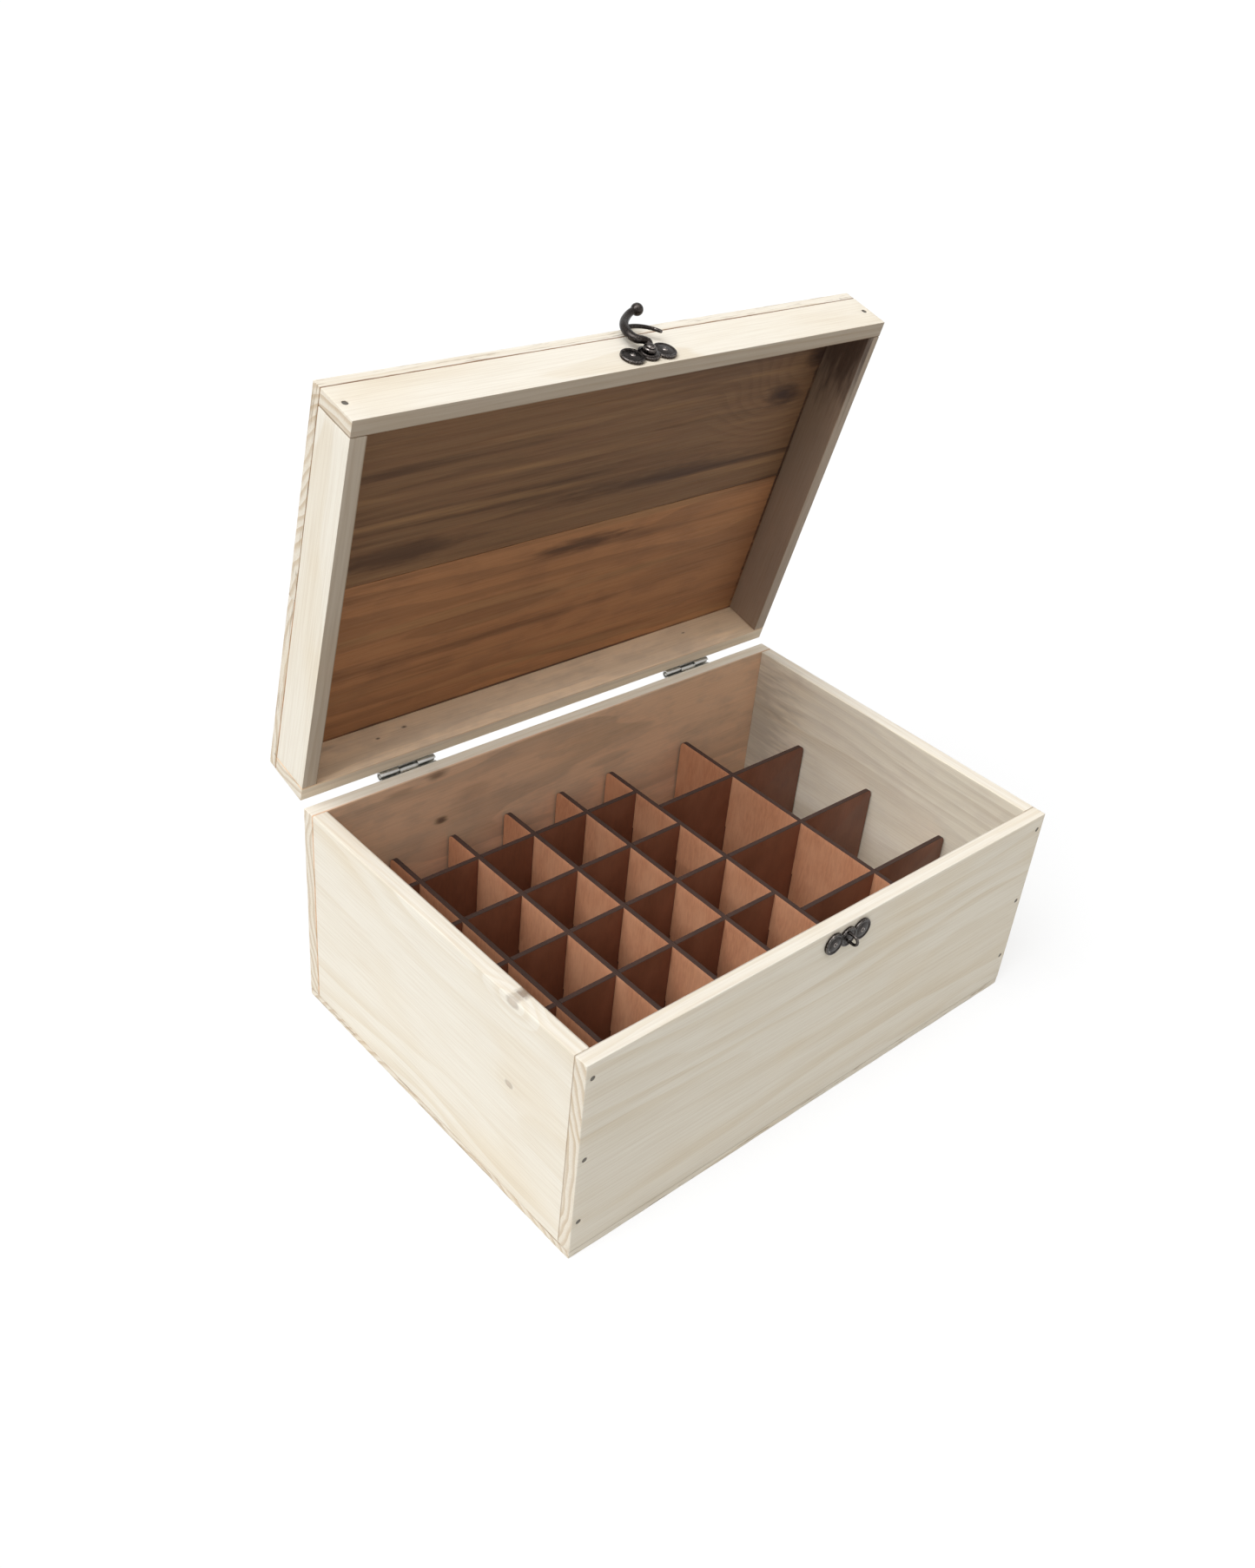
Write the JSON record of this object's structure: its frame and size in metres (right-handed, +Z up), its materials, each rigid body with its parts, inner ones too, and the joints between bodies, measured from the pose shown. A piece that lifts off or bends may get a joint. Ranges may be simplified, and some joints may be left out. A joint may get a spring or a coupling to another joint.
{
  "type": "art supply box",
  "caption": "Nailed softwood case with a hinged lid, a swinging hook latch and a grid of slotted dividers that sorts bottles, tubes and brushes.",
  "frame": {"origin": "centre of the base board's underside, on the surface that the box stands on", "axes": "+Z up, +X to the right along the front, +Y from the front to the hinged back"},
  "size_m": [0.35, 0.2832, 0.3881],
  "materials": {
    "pine": "sanded, unfinished",
    "hardboard": "matt, with scorched cut edges",
    "bronze": "blackened, satin",
    "steel": "plated, satin"
  },
  "bodies": {
    "case": {"back_panel": "pine", "base_board": "pine", "catch_pin_left": "bronze", "catch_pin_right": "bronze", "catch_plate": "bronze", "divider_column_1": "hardboard", "divider_column_2": "hardboard", "divider_column_3": "hardboard", "divider_column_4": "hardboard", "divider_column_5": "hardboard", "divider_column_6": "hardboard", "divider_row_1": "hardboard", "divider_row_2": "hardboard", "divider_row_3": "hardboard", "divider_row_4": "hardboard", "divider_row_5": "hardboard", "divider_row_large_front": "hardboard", "divider_row_large_rear": "hardboard", "front_panel": "pine", "hinge_left_leaf_lower": "steel", "hinge_left_pin": "steel", "hinge_left_screw_lower_left": "steel", "hinge_left_screw_lower_right": "steel", "hinge_right_leaf_lower": "steel", "hinge_right_pin": "steel", "hinge_right_screw_lower_left": "steel", "hinge_right_screw_lower_right": "steel", "left_panel": "pine", "nail_back_left_1": "steel", "nail_back_left_2": "steel", "nail_back_left_3": "steel", "nail_back_right_1": "steel", "nail_back_right_2": "steel", "nail_back_right_3": "steel", "nail_front_left_1": "steel", "nail_front_left_2": "steel", "nail_front_left_3": "steel", "nail_front_right_1": "steel", "nail_front_right_2": "steel", "nail_front_right_3": "steel", "right_panel": "pine"},
    "lid": {"hinge_left_leaf_upper": "steel", "hinge_left_screw_upper_left": "steel", "hinge_left_screw_upper_right": "steel", "hinge_right_leaf_upper": "steel", "hinge_right_screw_upper_left": "steel", "hinge_right_screw_upper_right": "steel", "hook_plate": "bronze", "hook_plate_pin_left": "bronze", "hook_plate_pin_right": "bronze", "hook_rivet": "bronze", "lid_back_rail": "pine", "lid_board": "pine", "lid_front_rail": "pine", "lid_left_rail": "pine", "lid_right_rail": "pine", "nail_lid_front_left": "steel", "nail_lid_front_right": "steel"},
    "hook": {"hook": "bronze"}
  },
  "joints": [
    {"name": "lid_hinge", "type": "hinge", "parent": "case", "child": "lid", "pos_m": [0, 0.1231, 0.133], "axis": [-1, 0, 0], "range_deg": [-76, 104]},
    {"name": "hook_pivot", "type": "hinge", "parent": "lid", "child": "hook", "pos_m": [0.001, 0.07302, 0.37106], "axis": [0, 0.2419, -0.9703], "range_deg": [-30, 150]}
  ]
}
